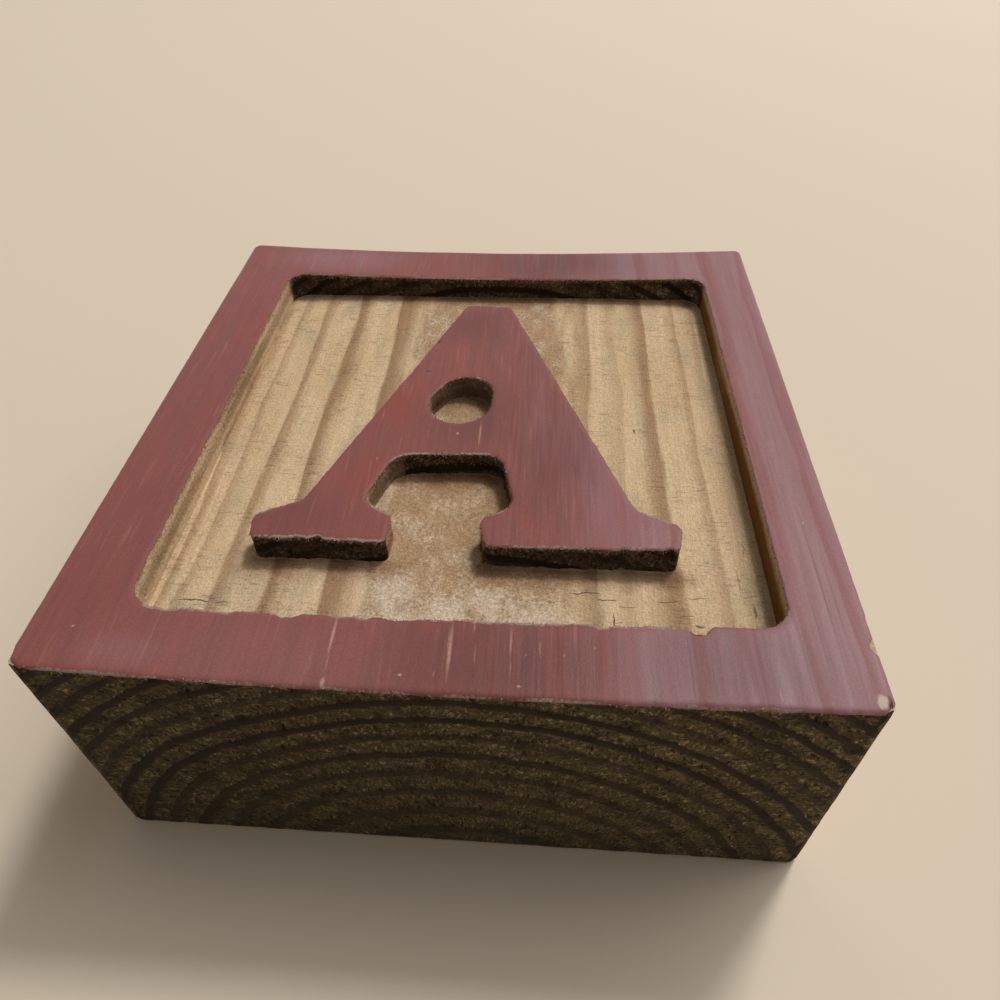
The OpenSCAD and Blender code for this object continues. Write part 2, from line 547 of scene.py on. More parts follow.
class Shader:
    """The node tree of one material or of the world."""

    def __init__(self, owner: bpy.types.Material | bpy.types.World) -> None:
        """Takes over a new material or world, and clears its nodes.

        Args:
            owner: The material or the world.
        """
        owner.use_nodes = True
        self.tree = owner.node_tree
        self.tree.nodes.clear()

    def add(
        self,
        kind: str,
        inputs: Mapping[int | str, Any] | Sequence[Any] = (),
        output: int | str = 0,
        **settings: Any,
    ) -> Socket | None:
        """Adds a node with its settings and links.

        Args:
            kind: The node's class name after ShaderNode.
            inputs: Values or sockets, in order or by the input's name or number.
            output: The output that the next node takes.
            settings: The node's own properties, where they differ from the usual ones.

        Returns:
            The chosen output, or nothing for a node that ends the tree.
        """
        node = self.tree.nodes.new("ShaderNode" + kind)
        for name, value in (USUAL_SETTINGS.get(kind, {}) | settings).items():
            setattr(node, name, value)
        pairs = inputs.items() if isinstance(inputs, Mapping) else enumerate(inputs)
        for key, value in pairs:
            if isinstance(value, Socket):
                self.tree.links.new(value, node.inputs[key])
            else:
                node.inputs[key].default_value = value
        return node.outputs[output] if len(node.outputs) else None

    @cached_property
    def places(self) -> Socket:
        """The object's own coordinates in millimetres."""
        place = self.add("TexCoord", output="Object")
        return self.add("VectorMath", {0: place, "Scale": 1 / MM}, operation="SCALE")

    @cached_property
    def side(self) -> Socket:
        """How far each place lies to the right, in millimetres."""
        return self.add("SeparateXYZ", (self.places,), output="X")

    def grain(
        self,
        cell: Sequence[float],
        detail: float = 2.0,
        bend: float = 0.0,
        places: Socket | None = None,
        span: Sequence[float] = (),
    ) -> Socket:
        """Adds a grain of patches with a real size.

        Args:
            cell: Size of a patch along each axis, in millimetres.
            detail: How many finer sizes are added.
            bend: How much the patches curl.
            places: Coordinates in millimetres, where they are not the object's own.
            span: Low and high value, and what they are stretched to if not 0 and 1.

        Returns:
            A value from 0 to 1 that stays mostly near the middle, where it has no span.
        """
        places = self.places if places is None else places
        scaled = self.add("VectorMath", (places, [1 / c for c in cell]), operation="MULTIPLY")
        inputs = {"Vector": scaled, "Scale": 1.0, "Detail": detail, "Distortion": bend}
        value = self.add("TexNoise", inputs)
        return self.add("MapRange", (value, *span)) if span else value

    def layered(self, colour: Socket | str, *layers: tuple[Socket, Socket | str]) -> Socket:
        """Lays colours over one another.

        Args:
            colour: The lowest colour, as a socket or an sRGB code.
            layers: Each layer's mask and its colour.

        Returns:
            The colour that shows.
        """
        for mask, upper in layers:
            pair = [linear(c) if isinstance(c, str) else c for c in (colour, upper)]
            colour = self.add("Mix", {0: mask, 6: pair[0], 7: pair[1]}, 2)
        return colour

    def close(
        self, looks: dict[str, Any], height: Socket | None = None, relief_mm: float = 0.0
    ) -> None:
        """Ends a material's tree with its surface.

        Args:
            looks: The surface's own values and sockets.
            height: Fine relief from 0 to 1, where it has any.
            relief_mm: How high a height of 1 stands, in millimetres.
        """
        if height is not None:
            relief = {"Height": height, "Strength": 1.0, "Distance": relief_mm * MM}
            looks = looks | {"Normal": self.add("Bump", relief)}
        self.add("OutputMaterial", {"Surface": self.add("BsdfPrincipled", looks)})

    def marked(
        self, marks: Iterable[Mark], core: float = 0.5, places: Socket | None = None
    ) -> Socket:
        """Adds a mask that is 1 on the marks and 0 elsewhere.

        Args:
            marks: The marks.
            core: Share of each mark that has its full strength.
            places: Coordinates in millimetres, where they are not the object's own.

        Returns:
            The mask.
        """
        places = self.places if places is None else places
        total: Socket | float = 0.0
        for mark in marks:
            shrink = (1 / mark.half_x, 1 / mark.half_y, 0)
            shifted = self.add("VectorMath", (places, (mark.x, mark.y, 0)), operation="SUBTRACT")
            scaled = self.add("VectorMath", (shifted, shrink), operation="MULTIPLY")
            away = self.add("VectorMath", (scaled,), "Value", operation="LENGTH")
            mask = self.add("MapRange", (away, 1.0, core, 0.0, mark.strength))
            total = self.add("Math", (total, mask), operation="MAXIMUM")
        return total

    def striped(self, stripes: Iterable[Stripe]) -> Socket:
        """Adds a mask of stripes along the grain, 0 between them.

        Args:
            stripes: The stripes.

        Returns:
            The mask.
        """
        stray = self.grain((2.6, 26.0, 4.0), 3.0, span=(0.2, 0.8, -STRIPE_STRAY, STRIPE_STRAY))
        side = self.add("Math", (self.side, stray), operation="ADD")
        total: Socket | float = 0.0
        for stripe in stripes:
            start = -stripe.edge / stripe.width
            part = self.add("Math", (side, 1 / stripe.width, start), operation="MULTIPLY_ADD")
            crisp = self.add("MapRange", (part, -0.04, 0.14))
            soft = self.add("MapRange", (part, 1.1, 0.25, 0.0, stripe.strength))
            mask = self.add("Math", (crisp, soft), operation="MULTIPLY")
            total = self.add("Math", (total, mask), operation="MAXIMUM")
        return total


def ring_count(shader: Shader, rings: GrowthRings, shift: float, shake: float) -> Socket:
    """Adds the count of rings out to each place, by the mesh relief's own rule.

    Args:
        shader: The tree.
        rings: The tree's rings.
        shift: Share of a ring by which the count is moved.
        shake: Share of a ring by which its edges stray from fibre to fibre.

    Returns:
        The count, which passes a whole number where a year ends.
    """
    flat = shader.add("VectorMath", (shader.places, (1, 0, 1)), operation="MULTIPLY")
    heart = (rings.heart_x, 0, rings.heart_z)
    spoke = shader.add("VectorMath", (flat, heart), operation="SUBTRACT")
    radius = shader.add("VectorMath", (spoke,), output="Value", operation="LENGTH")
    beyond = shader.add("Math", (radius, rings.first_radius), operation="SUBTRACT")
    growth = (beyond, rings.narrowing, rings.rings_per_mm)
    rate = shader.add("Math", growth, operation="MULTIPLY_ADD")
    wander = shader.add("Attribute", output="Fac", attribute_name="ring_wander")
    phase = shader.add("Math", (beyond, rate, wander), operation="MULTIPLY_ADD")
    shaken = shader.grain((0.5, 6.0, 0.5), span=(0.2, 0.8, shift - shake, shift + shake))
    return shader.add("Math", (phase, shaken), operation="ADD")


def unrolled_places(shader: Shader, rings: GrowthRings) -> Socket:
    """Adds coordinates that follow the rings: along them, along the grain and outward.

    Args:
        shader: The tree.
        rings: The tree's rings.

    Returns:
        The coordinates in millimetres.
    """
    spoke = shader.add(
        "VectorMath", (shader.places, (rings.heart_x, 0, rings.heart_z)), operation="SUBTRACT"
    )
    side, along, up = (shader.add("SeparateXYZ", (spoke,), output=axis) for axis in "XYZ")
    angle = shader.add("Math", (side, up), operation="ARCTAN2")
    arc = shader.add("Math", (angle, rings.first_radius * 1.3), operation="MULTIPLY")
    flat = shader.add("CombineXYZ", (side, 0.0, up))
    radius = shader.add("VectorMath", (flat,), output="Value", operation="LENGTH")
    return shader.add("CombineXYZ", (arc, along, radius))


SWIRL = (2.4, -19.0, Board.floor_z)

# Late wood on the pocket's floor, which the cutter left in straight stripes
FLOOR_STRIPES = (
    Stripe(-35.0, 1.4, 0.7),
    Stripe(-32.6, 1.8, 0.5),
    Stripe(-28.4, 2.6, 0.75),
    Stripe(-22.9, 3.2, 0.95),
    Stripe(-15.6, 4.0, 1.0),
    Stripe(17.1, -3.2, 0.7),
    Stripe(21.4, -3.0, 0.35),
    Stripe(26.6, -3.8, 0.9),
    Stripe(31.8, -2.2, 0.55),
    Stripe(35.0, -2.0, 0.4),
)

FLOOR_CRACKS = (
    Mark(-30.2, -32.6, 2.6, 0.13, 0.8),
    Mark(-26.6, -32.8, 1.4, 0.08, 0.5),
    Mark(-29.0, -31.9, 1.0, 0.07, 0.4),
    Mark(15.4, -29.6, 2.3, 0.12, 0.7),
    Mark(17.8, -30.6, 1.5, 0.1, 0.8),
    Mark(20.2, -31.4, 1.3, 0.08, 0.5),
    Mark(18.3, -33.4, 0.12, 1.3, 0.75),
    Mark(24.9, -30.4, 1.8, 0.1, 0.65),
    Mark(28.2, -29.8, 1.6, 0.08, 0.5),
    Mark(28.0, -33.8, 0.45, 0.3, 0.7),
    Mark(26.6, -32.4, 0.9, 0.07, 0.4),
    Mark(12.0, -31.0, 1.6, 0.07, 0.35),
    Mark(33.2, -27.0, 0.12, 1.8, 0.35),
    Mark(34.6, -22.0, 0.12, 1.6, 0.35),
    Mark(-21.8, -15.6, 1.8, 0.1, 0.45),
    Mark(22.9, 0.0, 0.26, 0.55, 0.75),
    Mark(17.6, -35.9, 0.22, 0.8, 0.8),
    Mark(26.7, -36.2, 0.35, 0.3, 0.7),
    Mark(34.4, -31.6, 0.25, 1.2, 0.6),
    Mark(18.6, -33.6, 1.0, 0.09, 0.4),
)


@dataclass(frozen=True)
class Softwood:
    """A softwood surface: pale early wood, denser late wood, and its end grain.

    Fibres and tufts are drawn 0.2 to 0.6 mm wide, coarser than real cells, so that they show.
    """

    name: str
    early: str
    late: str
    tint: str
    end_early: str
    end_late: str
    end_fleck: str
    rim: str
    late_share: float
    mottle: float
    fleck_cell: float
    bump_mm: float
    roughness: float
    cool: str = "#b3a183"
    felt_low: str = "#8b6f54"
    felt_high: str = "#c4ad93"
    felt_brown: str = "#957350"
    felt_pale: str = "#cebfab"
    # Brown multiplied in as painted shade and shadow, partly scorch from the hot cutter
    shade_and_scorch: str = "#94744d"
    crack: str = "#4a3522"
    felt_share: float = 0.0
    marks: tuple[Mark, ...] = ()
    stripes: tuple[Stripe, ...] = ()

    def build(self, rings: GrowthRings) -> bpy.types.Material:
        """Makes the material.

        Args:
            rings: The tree's rings, which run through every wooden surface.

        Returns:
            The finished material.
        """
        material = bpy.data.materials.new(self.name)
        shader = Shader(material)
        count = ring_count(shader, rings, 0.85, 0.035)
        late = self.late_mask(shader, count, (rings.late_start, rings.late_full), 0.94)
        if self.stripes:
            band = shader.striped(self.stripes)
        else:
            band = self.late_mask(shader, count, (0.36, 0.74), 0.88)
        streaks = shader.grain((0.32, 7.0, 0.32), 3.0)
        fibres = shader.grain((0.16, 0.8, 0.2))
        patches = shader.grain((7.0, 22.0, 7.0))
        felted = self.felted_share(shader, rings)
        along = self.long_grain(shader, band, streaks, fibres, patches, felted)
        bent = unrolled_places(shader, rings)
        tuft = (0.9 * self.fleck_cell, 2.0, 1.1 * self.fleck_cell)
        torn = shader.grain(tuft, 5.0, 1.2, bent)
        across = self.end_grain(shader, late, torn)
        end = shader.add("Attribute", output="Fac", attribute_name="end_share")
        colour = shader.layered(along, (end, across))
        colour = self.shaded_and_scorched(shader, patches, colour)
        cracks = self.crack_mask(shader)
        colour = shader.layered(colour, (self.worn_rim(shader), self.rim), (cracks, self.crack))
        height = self.relief(shader, late, streaks, torn, end, cracks)
        looks = {"Base Color": colour, "Roughness": self.roughness, "Specular IOR Level": 0.12}
        shader.close(looks, height, self.bump_mm)
        return material

    def late_mask(
        self,
        shader: Shader,
        count: Socket,
        rise: tuple[float, float],
        fall: float,
    ) -> Socket:
        """Adds the share of dense late wood. Some years left more of it than others.

        Args:
            shader: The tree.
            count: Count of rings.
            rise: Shares of a year between which the late wood builds up.
            fall: Share of a year at which it starts to end.

        Returns:
            A value from 0 in early wood to 1 in late wood.
        """
        part = shader.add("Math", (count,), operation="FRACT")
        year = shader.add("Math", (count,), operation="FLOOR")
        lean = shader.add("TexWhiteNoise", {"W": year}, noise_dimensions="1D")
        lean = shader.add("Math", (lean, 0.4, 0.65), operation="MULTIPLY_ADD")
        grown = shader.add("MapRange", (part, *rise))
        ended = shader.add("MapRange", (part, 1.0, fall))
        mask = shader.add("Math", (grown, ended), operation="MULTIPLY")
        return shader.add("Math", (mask, lean), operation="MULTIPLY")

    def long_grain(
        self,
        shader: Shader,
        late: Socket,
        streaks: Socket,
        fibres: Socket,
        patches: Socket,
        felted: Socket,
    ) -> Socket:
        """Adds the colour of a surface along the grain.

        Args:
            shader: The tree.
            late: Share of late wood.
            streaks: Long thin streaks.
            fibres: Short fibres.
            patches: Broad patches.
            felted: Share of woolly early wood.

        Returns:
            The colour.
        """
        warm = shader.add("MapRange", (patches, 0.35, 0.7, 0.0, 0.7))
        cool = shader.grain((3.0, 9.0, 3.0), 3.0, span=(0.48, 0.7, 0.0, 0.75))
        dense = shader.add("Math", (late, self.late_share), operation="MULTIPLY")
        layers = ((warm, self.tint), (cool, self.cool), (dense, self.late))
        colour = shader.layered(self.early, *layers)
        reach = 0.6 * self.mottle
        light = shader.add("MapRange", (streaks, 0.25, 0.75, 1 - reach, 1 + reach))
        speckle = shader.add("MapRange", (fibres, 0.3, 0.7, 1 - self.mottle, 1 + self.mottle))
        light = shader.add("Math", (light, speckle), operation="MULTIPLY")
        light = shader.add("Math", (light, self.wrinkles(shader)), operation="MULTIPLY")
        colour = shader.add("HueSaturation", {"Value": light, "Color": colour})
        colour = shader.layered(colour, (felted, self.felt(shader)))
        reach = 1.6 * self.mottle
        specks = shader.grain((0.2, 0.24, 0.2), span=(0.3, 0.7, 1 - reach, 1 + reach))
        return shader.add("HueSaturation", {"Value": specks, "Color": colour})

    def wrinkles(self, shader: Shader) -> Socket:
        """Adds short thin lines across the grain, where the cutter lifted the fibres.

        Args:
            shader: The tree.

        Returns:
            A factor for the brightness.
        """
        lines = shader.grain((1.8, 0.32, 1.0), 3.0, 1.0, span=(0.53, 0.66))
        where = shader.grain((8.0, 6.0, 8.0), 1.0, span=(0.38, 0.54))
        share = shader.add("Math", (lines, where), operation="MULTIPLY")
        return shader.add("MapRange", (share, 0.0, 1.0, 1.0, 1 - 3.4 * self.mottle))

    def felt(self, shader: Shader) -> Socket:
        """Adds the grey woolly grain of early wood that the cutter met flat on.

        Args:
            shader: The tree.

        Returns:
            The colour.
        """
        tufts = shader.grain((0.4, 0.45, 0.4), 4.0, 0.4, span=(0.25, 0.75))
        clouds = shader.grain((3.0, 4.5, 3.0), 5.0)
        along = shader.add("SeparateXYZ", (shader.places,), output="Y")
        inner = shader.add("MapRange", (along, -34.0, -25.0, -0.17, 0.09))
        clouds = shader.add("Math", (clouds, inner), operation="ADD")
        brown = shader.add("MapRange", (clouds, 0.46, 0.66, 0.0, 0.75))
        pale = shader.add("MapRange", (clouds, 0.48, 0.3, 0.0, 0.65))
        layers = ((tufts, self.felt_high), (brown, self.felt_brown), (pale, self.felt_pale))
        ground = shader.layered(self.felt_low, *layers)
        place = shader.add("VectorMath", (shader.places, SWIRL), operation="SUBTRACT")
        bend = shader.grain((1.5, 1.5, 1.5), 1.0)
        away = shader.add("VectorMath", (place,), output="Value", operation="LENGTH")
        turns = shader.add("Math", (away, 5.5, bend), operation="MULTIPLY_ADD")
        wave = shader.add("Math", (turns,), operation="SINE")
        near = shader.add("MapRange", (away, 5.5, 2.0, 0.0, 0.12))
        light = shader.add("Math", (wave, near, 1.0), operation="MULTIPLY_ADD")
        wisps = shader.grain((0.3, 0.34, 0.3), 3.0, 0.6, span=(0.32, 0.68, 0.74, 1.2))
        light = shader.add("Math", (light, wisps), operation="MULTIPLY")
        return shader.add("HueSaturation", {"Value": light, "Color": ground})

    def felted_share(self, shader: Shader, rings: GrowthRings) -> Socket:
        """Adds how flat the rings lie to the surface, most above the heart of the tree.

        Args:
            shader: The tree.
            rings: The tree's rings.

        Returns:
            A value from 0 to 1.
        """
        strayed = shader.grain((2.0, 14.0, 2.0), span=(0.2, 0.8, -3.0, 3.0))
        side = shader.add("Math", (shader.side, strayed), operation="ADD")
        side = shader.add("Math", (side, rings.heart_x), operation="SUBTRACT")
        side = shader.add("Math", (side,), operation="ABSOLUTE")
        return shader.add("MapRange", (side, 14.5, 9.5, 0.0, self.felt_share))

    def end_grain(self, shader: Shader, late: Socket, torn: Socket) -> Socket:
        """Adds the colour of a surface across the grain.

        Args:
            shader: The tree.
            late: Share of late wood.
            torn: Torn patches.

        Returns:
            The colour.
        """
        fleck = shader.add("MapRange", (torn, 0.54, 0.7))
        pits = shader.add("MapRange", (torn, 0.48, 0.36, 0.0, 0.9))
        layers = ((fleck, self.end_fleck), (pits, self.end_late), (late, self.end_late))
        colour = shader.layered(self.end_early, *layers)
        # Painted light: the end grain is made darker on the left and lighter on the right, where
        # the light comes from
        painted_light_tone = shader.add("MapRange", (shader.side, -30.0, 24.0, 0.82, 1.16))
        cloudy = shader.grain((3.5, 5.0, 2.0), 4.0, span=(0.3, 0.7, 0.65, 1.35))
        light = shader.add("Math", (painted_light_tone, cloudy), operation="MULTIPLY")
        return shader.add("HueSaturation", {"Value": light, "Color": colour})

    def shaded_and_scorched(self, shader: Shader, patches: Socket, colour: Socket) -> Socket:
        """Darkens the wood by its shade-and-scorch share: mostly painted shade, with some browning
        by the hot cutter.

        Args:
            shader: The tree.
            patches: Broad patches.
            colour: The colour below.

        Returns:
            The new colour.
        """
        # Share of painted shade and shadow, partly cutter scorch, with an uneven strength
        share = shader.add("Attribute", output="Fac", attribute_name="shade_and_scorch")
        uneven = shader.add("MapRange", (patches, 0.3, 0.7, 0.75, 1.25))
        share = shader.add("Math", (share, uneven), operation="MULTIPLY")
        inputs = {0: share, 6: colour, 7: linear(self.shade_and_scorch)}
        return shader.add("Mix", inputs, 2, blend_type="MULTIPLY")

    def worn_rim(self, shader: Shader) -> Socket:
        """Adds a mask of the paler frayed wood along the upper rims.

        Args:
            shader: The tree.

        Returns:
            A value from 0 to 1.
        """
        near = shader.add("Attribute", output="Fac", attribute_name="rim_near")
        frayed = shader.grain((0.3, 0.3, 0.5), 3.0, span=(0.4, 0.62))
        stretch = shader.grain((4.0, 4.0, 4.0), span=(0.4, 0.6, 0.25, 1.0))
        share = shader.add("Math", (near, frayed), operation="MULTIPLY")
        return shader.add("Math", (share, stretch), operation="MULTIPLY")

    def crack_mask(self, shader: Shader) -> Socket:
        """Adds cracks and specks at this surface's own places.

        Args:
            shader: The tree.

        Returns:
            A value from 0 to 1.
        """
        offset = shader.add(
            "TexNoise", {"Vector": shader.places, "Scale": 0.7, "Detail": 3.0}, output="Color"
        )
        offset = shader.add("VectorMath", (offset, (0.5,) * 3), operation="SUBTRACT")
        offset = shader.add("VectorMath", {0: offset, "Scale": 1.1}, operation="SCALE")
        moved = shader.add("VectorMath", (shader.places, offset), operation="ADD")
        return shader.marked(self.marks, places=moved)

    def relief(
        self,
        shader: Shader,
        late: Socket,
        streaks: Socket,
        torn: Socket,
        end: Socket,
        cracks: Socket,
    ) -> Socket:
        """Adds the height of the fine grain, which is too small for the mesh.

        Args:
            shader: The tree.
            late: Share of late wood.
            streaks: Long thin streaks.
            torn: Torn patches.
            end: Share of end grain.
            cracks: Cracks and specks.

        Returns:
            A height from about 0 to 1.
        """
        wool = shader.grain((0.5, 0.42, 0.42), 3.0)
        wool = shader.add("Math", (wool, 1.6), operation="MULTIPLY")
        along = shader.add("Math", (streaks, 0.5, wool), operation="MULTIPLY_ADD")
        calm = shader.add("MapRange", (late, 0.0, 1.0, 1.0, 0.2))
        across = shader.add("Math", (torn, calm), operation="MULTIPLY")
        across = shader.add("Math", (across, 2.2), operation="MULTIPLY")
        height = shader.add("Mix", {0: end, 2: along, 3: across}, data_type="FLOAT")
        sunk = shader.add("Math", (cracks, -1.2), operation="MULTIPLY")
        return shader.add("Math", (height, sunk), operation="ADD")


# Routed softwood: a pale tan floor with soft brown stripes, and dark torn end grain
ROUTED_PINE = Softwood(
    name="routed_pine",
    early="#cab08f",
    late="#8c6b4d",
    tint="#c0a27d",
    end_early="#544534",
    end_late="#20170d",
    end_fleck="#8a7b65",
    rim="#a08f80",
    late_share=0.85,
    mottle=0.09,
    fleck_cell=0.55,
    bump_mm=0.09,
    roughness=0.85,
    felt_share=0.8,
    marks=FLOOR_CRACKS,
    stripes=FLOOR_STRIPES,
)

# Sawn softwood end: smooth near-black late wood between rough olive-brown early wood
SAWN_PINE = Softwood(
    name="sawn_pine_end",
    early="#a98b62",
    late="#7b5a3a",
    tint="#9c7b50",
    end_early="#50442c",
    end_late="#261d11",
    end_fleck="#8d7e60",
    rim="#8f8274",
    late_share=0.8,
    mottle=0.12,
    fleck_cell=0.6,
    bump_mm=0.14,
    roughness=0.82,
)

# Planed softwood left bare and handled: a little darker and smoother than the fresh floor
PLANED_PINE = Softwood(
    name="planed_pine",
    early="#c2a178",
    late="#93693f",
    tint="#b08a5c",
    end_early="#6b583c",
    end_late="#3a2a1a",
    end_fleck="#8d7757",
    rim="#8d7766",
    late_share=0.7,
    mottle=0.08,
    fleck_cell=0.5,
    bump_mm=0.04,
    roughness=0.7,
)

PALE_SCRATCHES = (
    Mark(-11.7, -39.3, 0.24, 3.3, 0.8),
    Mark(-11.6, -42.6, 0.15, 1.6, 0.35),
    Mark(-11.55, -45.0, 0.34, 0.95, 0.75),
    Mark(0.85, -40.6, 0.3, 4.6, 0.75),
    Mark(0.6, -39.4, 0.12, 2.4, 0.4),
    Mark(3.2, -37.6, 0.15, 1.0, 0.4),
    Mark(3.5, -41.0, 0.14, 2.2, 0.3),
    Mark(7.15, -39.4, 0.2, 2.4, 0.55),
    Mark(7.25, -42.4, 0.14, 1.2, 0.3),
    Mark(10.2, -39.9, 0.16, 1.6, 0.35),
    Mark(1.35, -5.6, 0.22, 3.4, 0.6),
    Mark(-39.4, -39.9, 0.28, 0.24, 0.7),
    Mark(-3.9, -43.7, 0.34, 0.26, 0.9),
    Mark(-0.5, -43.4, 0.14, 0.5, 0.4),
    Mark(8.2, -44.5, 0.32, 0.24, 0.85),
    Mark(12.7, -40.7, 0.18, 0.33, 0.45),
    Mark(8.8, -40.8, 0.18, 0.2, 0.4),
    Mark(15.9, -39.7, 0.14, 0.3, 0.4),
    Mark(25.3, -38.8, 0.14, 0.18, 0.5),
    Mark(33.7, -44.7, 0.12, 0.8, 0.6),
    Mark(40.8, -21.5, 0.22, 0.3, 0.7),
    Mark(-1.7, -5.6, 0.28, 0.36, 0.9),
    Mark(-11.8, -11.2, 0.22, 0.25, 0.8),
    Mark(-12.5, -1.9, 0.09, 1.2, 0.4),
)

# Patches of chalky paint, which partly paint a sheen of the light
CHALK_AND_SHEEN_PATCHES = (
    Mark(-27.0, 42.5, 17.0, 7.0, 0.45),
    Mark(-33.0, -42.5, 9.0, 4.0, 0.3),
    Mark(40.0, 10.0, 6.0, 40.0, 0.6),
    Mark(-20.0, -42.5, 26.0, 10.0, 0.2),
)

DULL_PATCHES = (
    Mark(5.0, -42.0, 18.0, 10.0, 0.9),
    Mark(30.0, -42.0, 16.0, 10.0, 0.75),
    Mark(12.0, 42.0, 22.0, 10.0, 1.0),
    Mark(-1.0, 22.0, 9.0, 10.0, 0.7),
    Mark(-20.0, -22.0, 9.0, 7.0, 0.5),
    Mark(0.0, -2.0, 11.0, 11.0, 0.8),
    Mark(12.0, -10.0, 8.0, 18.0, 0.7),
)

RED_PATCHES = (
    Mark(-10.5, 2.0, 4.5, 11.0, 0.8),
    Mark(-12.5, -15.0, 4.5, 9.0, 0.5),
    Mark(-36.0, 18.0, 3.0, 10.0, 0.4),
)

# Bands where early wood sank under the paint
SUNK_BANDS = (
    Stripe(25.3, 2.4, 1.0),
    Stripe(31.6, 1.5, 0.6),
    Stripe(36.6, 2.6, 0.85),
    Stripe(42.5, 1.8, 0.8),
)

GROOVES = (
    Mark(25.45, -42.0, 0.16, 6.0, 0.7),
    Mark(27.5, -43.5, 0.12, 3.0, 0.5),
    Mark(31.7, -42.5, 0.1, 4.0, 0.45),
    Mark(36.9, -42.0, 0.14, 6.0, 0.6),
    Mark(39.0, -38.0, 0.12, 9.0, 0.55),
    Mark(40.6, -30.0, 0.16, 14.0, 0.65),
    Mark(41.6, -33.0, 0.12, 8.0, 0.5),
    Mark(38.8, -14.0, 0.12, 12.0, 0.4),
    Mark(42.4, 6.0, 0.12, 14.0, 0.4),
)

CHIPS = (
    Mark(43.1, -45.2, 0.65, 1.0, 0.95),
    Mark(44.3, -38.6, 0.5, 0.9, 0.7),
)

DARK_DENTS = (
    Mark(-6.8, 16.6, 0.4, 0.8, 0.7),
    Mark(-7.5, 8.6, 0.6, 0.28, 0.6),
    Mark(-7.0, 14.0, 0.4, 0.25, 0.5),
    Mark(43.75, -45.3, 0.3, 1.1, 0.9),
)


